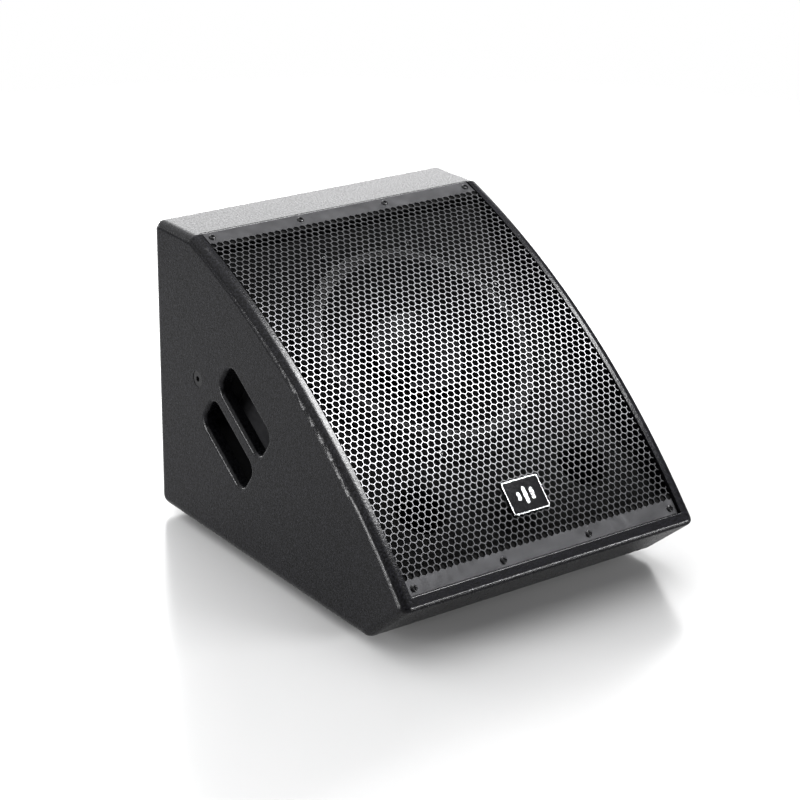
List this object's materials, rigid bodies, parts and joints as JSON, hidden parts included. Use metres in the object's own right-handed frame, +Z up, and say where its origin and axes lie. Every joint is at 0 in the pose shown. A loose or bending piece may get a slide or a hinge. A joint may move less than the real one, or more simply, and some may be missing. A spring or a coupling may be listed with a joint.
{
  "type": "stage monitor wedge",
  "caption": "Floor monitor wedge: plywood cabinet, curved perforated grille over a coaxial driver, side handle, pole socket and a rear amplifier module.",
  "frame": {"origin": "on the floor, under the middle of the monitor's bounding box", "axes": "+Z up; the grille faces -Y and up, towards the performer; +Y is the back with the amplifier; +X is the performer's right as they face the grille from -Y, the side with the pole socket"},
  "size_m": [0.4, 0.4909, 0.361],
  "materials": {
    "cabinet_coat": "sprayed textured black coating on birch plywood",
    "raw_wood": "bare plywood and softwood",
    "grille_coat": "satin dark powder coat",
    "black_screw": "black zinc plated screws",
    "badge_black": "gloss black",
    "badge_metal": "brushed bright metal",
    "pocket_plastic": "moulded black",
    "socket_steel": "black steel cup",
    "zinc_steel": "zinc plated steel",
    "basket_cast": "cast aluminium, black coat",
    "ferrite": "sintered ferrite",
    "plate_steel": "passivated steel",
    "paper_cone": "treated black paper",
    "foam_roll": "treated cloth",
    "spider_cloth": "resin cured cloth",
    "horn_plastic": "moulded black",
    "amp_panel": "fine textured black",
    "sink_anodised": "black anodised",
    "connector_plastic": "moulded black",
    "connector_metal": "nickel plated",
    "knob_plastic": "soft black",
    "rocker_plastic": "gloss black",
    "lamp": "clear green lens",
    "board": "green circuit board",
    "capacitor": "sleeved cans and bracket",
    "copper_coil": "taped copper winding",
    "felt": "grey felt",
    "foot_rubber": "moulded black rubber"
  },
  "bodies": {
    "cabinet": {"side_panel_left": "cabinet_coat", "side_panel_right": "cabinet_coat", "top_panel": "cabinet_coat", "rear_panel": "cabinet_coat", "bottom_panel": "cabinet_coat", "toe_panel": "cabinet_coat", "baffle": "cabinet_coat", "cleat_low": "cabinet_coat", "cleat_high": "cabinet_coat", "amp_battens": "raw_wood", "handle_pocket": "pocket_plastic", "pole_socket": "socket_steel", "threaded_inserts": "zinc_steel", "rigging_screws": "black_screw", "grille": "grille_coat", "grille_screws": "black_screw", "badge_plate": "badge_black", "badge_trim": "badge_metal", "port_tube_left": "pocket_plastic", "port_tube_right": "pocket_plastic", "basket": "basket_cast", "gasket": "foot_rubber", "top_plate": "plate_steel", "magnet": "ferrite", "back_plate": "plate_steel", "horn": "horn_plastic", "compression_driver": "basket_cast", "driver_screws": "black_screw", "amp_plate": "amp_panel", "amp_screws": "black_screw", "heat_sink": "sink_anodised", "xlr_input": "connector_metal", "xlr_output": "connector_metal", "power_inlet": "connector_plastic", "fuse_holder": "connector_plastic", "rocker_frame": "connector_plastic", "potentiometers": "connector_plastic", "switch_bodies": "connector_plastic", "indicators": "lamp", "main_board": "board", "power_stage": "capacitor", "transformer": "copper_coil", "lining": "felt", "foot_back_left": "foot_rubber", "foot_back_right": "foot_rubber", "foot_front_left": "foot_rubber", "foot_front_right": "foot_rubber", "foot_screws": "zinc_steel", "roll": "foam_roll", "spider": "spider_cloth"},
    "woofer_cone": {"cone": "paper_cone", "voice_coil": "copper_coil"},
    "level_control": {"level_knob": "knob_plastic"},
    "low_control": {"low_knob": "knob_plastic"},
    "high_control": {"high_knob": "knob_plastic"},
    "mains_rocker": {"rocker": "rocker_plastic"},
    "fuse_tray": {"fuse_drawer": "connector_plastic"},
    "latch_tab": {"input_latch": "connector_metal"},
    "ground_push": {"ground_button": "knob_plastic"},
    "gain_lever": {"gain_switch": "knob_plastic"}
  },
  "joints": [
    {"name": "cone_travel", "type": "slide", "parent": "cabinet", "child": "woofer_cone", "axis": [0, -0.5775, 0.8164], "range_m": [-0.005, 0.005], "stiffness_N_per_m": 4000, "deforming": ["roll", "spider"]},
    {"name": "level_turn", "type": "hinge", "parent": "cabinet", "child": "level_control", "pos_m": [0.104, 0.23345, 0.214], "axis": [0, 1, 0], "range_deg": [-150, 150]},
    {"name": "low_turn", "type": "hinge", "parent": "cabinet", "child": "low_control", "pos_m": [0.068, 0.23345, 0.214], "axis": [0, 1, 0], "range_deg": [-150, 150]},
    {"name": "high_turn", "type": "hinge", "parent": "cabinet", "child": "high_control", "pos_m": [0.032, 0.23345, 0.214], "axis": [0, 1, 0], "range_deg": [-150, 150]},
    {"name": "rocker_tilt", "type": "hinge", "parent": "cabinet", "child": "mains_rocker", "pos_m": [0.034, 0.23345, 0.108], "axis": [1, 0, 0], "range_deg": [0, 16]},
    {"name": "fuse_slide", "type": "slide", "parent": "cabinet", "child": "fuse_tray", "axis": [0, 1, 0], "range_m": [0, 0.022]},
    {"name": "latch_press", "type": "slide", "parent": "cabinet", "child": "latch_tab", "axis": [0, 1, 0], "range_m": [-0.0018, 0], "stiffness_N_per_m": 300},
    {"name": "ground_press", "type": "slide", "parent": "cabinet", "child": "ground_push", "axis": [0, 1, 0], "range_m": [-0.002, 0], "stiffness_N_per_m": 300},
    {"name": "gain_slide", "type": "slide", "parent": "cabinet", "child": "gain_lever", "axis": [-1, 0, 0], "range_m": [0, 0.0044]}
  ]
}
